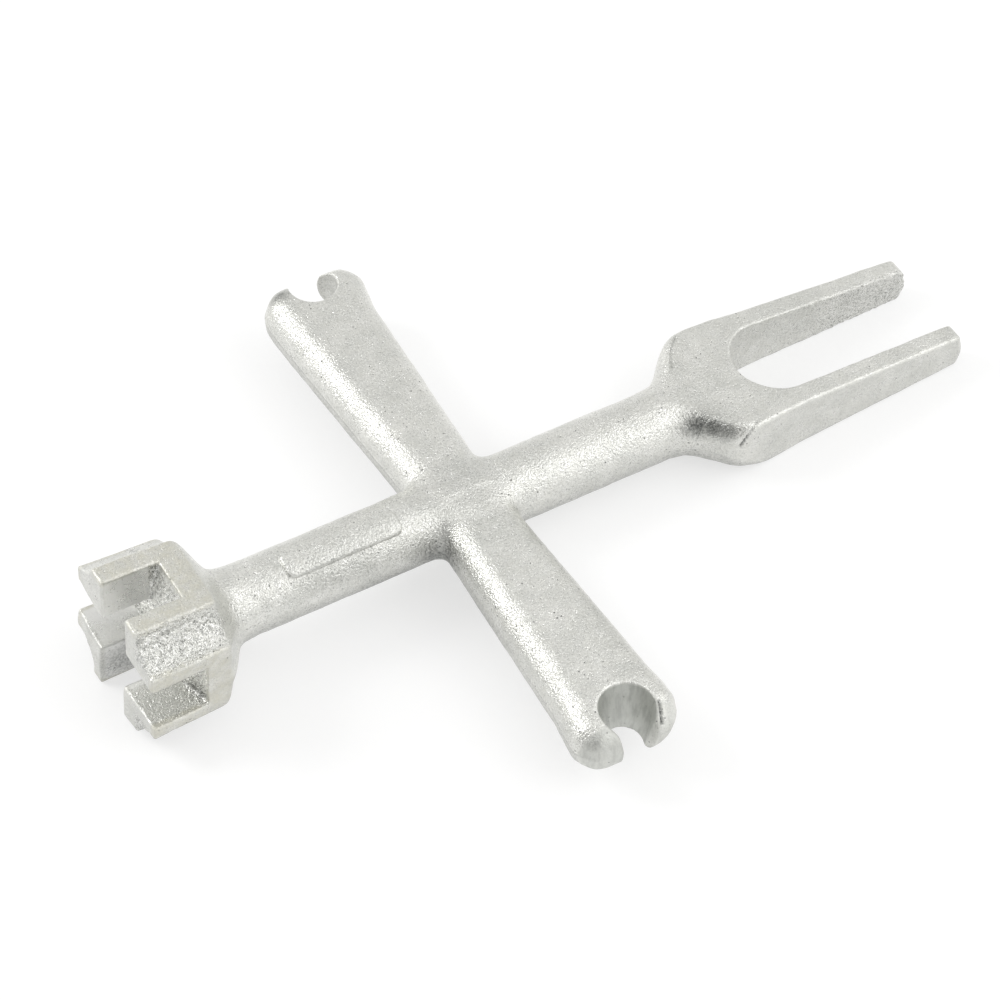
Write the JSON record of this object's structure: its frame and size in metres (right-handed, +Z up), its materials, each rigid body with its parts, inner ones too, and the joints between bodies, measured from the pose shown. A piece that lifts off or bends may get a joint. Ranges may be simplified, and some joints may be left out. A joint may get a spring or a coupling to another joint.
{
  "type": "four-way drain wrench",
  "caption": "Cross-shaped cast drain and plug wrench: a castellated crown and a fork on one shank, crossed by two flat arms with notched tips.",
  "frame": {"origin": "on the bench, under the centre of the whole tool's box, as the tool lies at rest", "axes": "+X along the shank towards the fork (the shank itself dips 3.5 degrees towards the fork), +Y along the far arm, +Z up from the bench"},
  "size_m": [0.2056, 0.143, 0.0341],
  "materials": {
    "hub_zinc": "rough sand-cast iron under dull zinc plate",
    "shank_zinc": "rough sand-cast iron under dull zinc plate, pitted",
    "pad_zinc": "rough sand-cast iron under dull zinc plate",
    "arm_zinc": "rough sand-cast iron under dull zinc plate, with worn bright edges",
    "crown_zinc": "dressed flats and rough hollow corners under warm-tinted zinc plate",
    "fork_zinc": "rough sand-cast iron under dull zinc plate, darker at the root of the fork"
  },
  "bodies": {
    "root": {"hub": "hub_zinc", "shank_crown_side": "shank_zinc", "shank_fork_side": "shank_zinc", "blank_mark_pad": "pad_zinc", "arm_far": "arm_zinc", "arm_near": "arm_zinc", "horn_far_crown_side": "arm_zinc", "horn_far_fork_side": "arm_zinc", "horn_near_crown_side": "arm_zinc", "horn_near_fork_side": "arm_zinc", "crown_base": "crown_zinc", "crown_prong_upper_far": "crown_zinc", "crown_prong_upper_near": "crown_zinc", "crown_prong_lower_far": "crown_zinc", "crown_prong_lower_near": "crown_zinc", "fork_yoke": "fork_zinc", "fork_tine_far": "fork_zinc", "fork_tine_near": "fork_zinc"}
  },
  "joints": []
}
